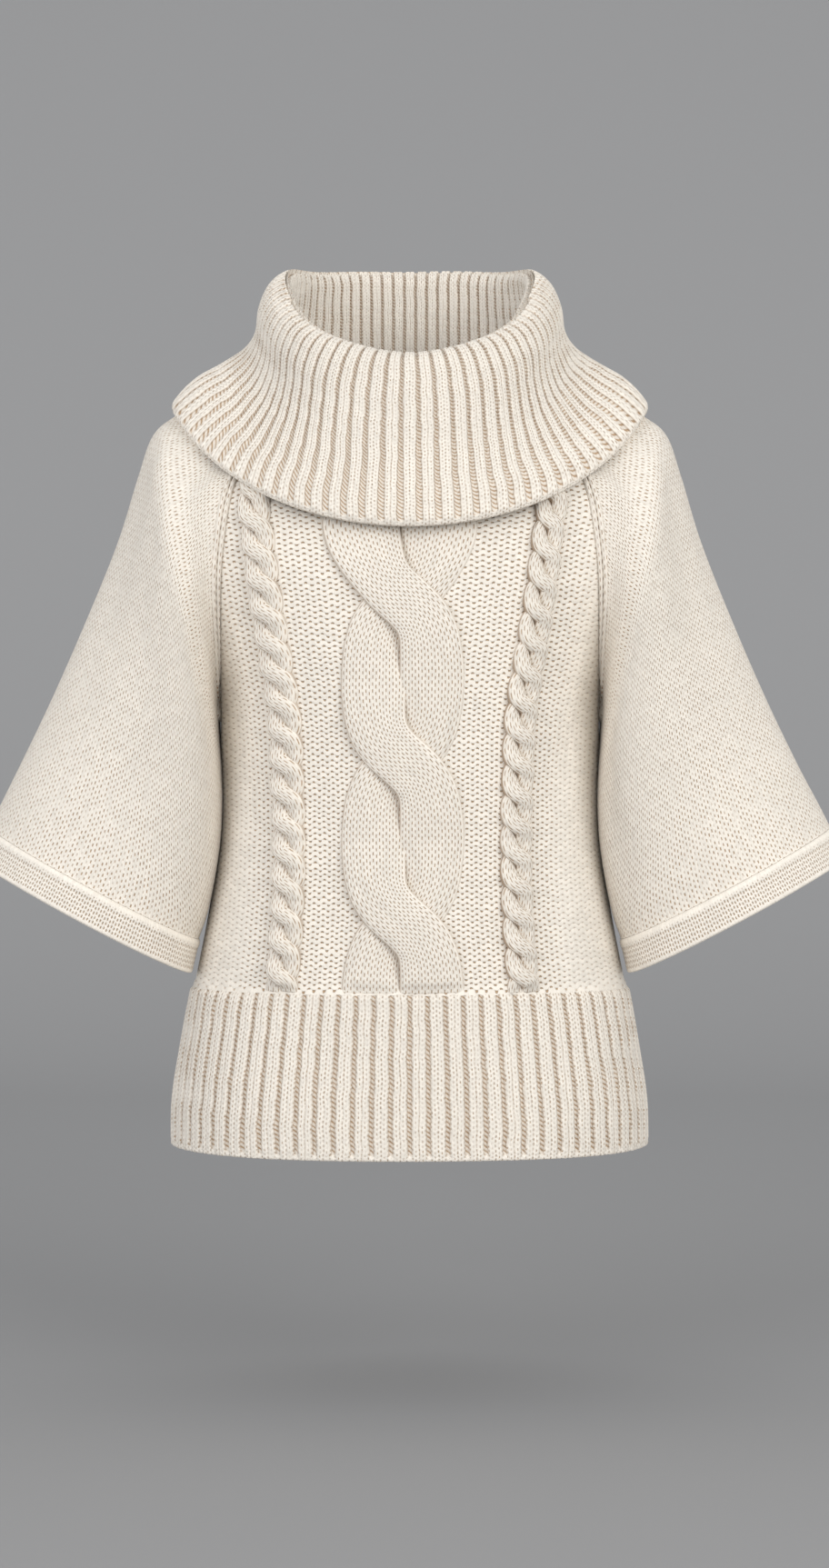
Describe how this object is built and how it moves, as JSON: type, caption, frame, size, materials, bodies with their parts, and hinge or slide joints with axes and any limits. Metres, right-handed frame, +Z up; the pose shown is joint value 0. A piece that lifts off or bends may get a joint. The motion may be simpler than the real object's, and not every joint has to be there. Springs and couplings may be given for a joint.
{
  "type": "knitted poncho sweater",
  "caption": "Hollow knitted poncho sweater with a folded ribbed cowl collar, cable front, wide raglan bell sleeves, turned cuffs and a deep ribbed waistband",
  "frame": {"origin": "middle of the neck, level with the seam of the collar", "axes": "+Z up, the front faces -Y, +X towards the wearer's left sleeve"},
  "size_m": [0.6478, 0.2347, 0.6602],
  "materials": {
    "cable_knit": "chunky ivory cable knit on a purl ground, matt",
    "plain_knit": "ivory stocking-stitch knit, matt",
    "rib_knit": "ivory ribbed knit, two knit and two purl stitches, matt"
  },
  "bodies": {
    "root": {"front_panel": "cable_knit", "back_panel": "plain_knit", "sleeve_left": "plain_knit", "sleeve_right": "plain_knit", "cuff_left": "plain_knit", "cuff_right": "plain_knit", "waistband": "rib_knit", "cowl_collar": "rib_knit"}
  },
  "joints": []
}
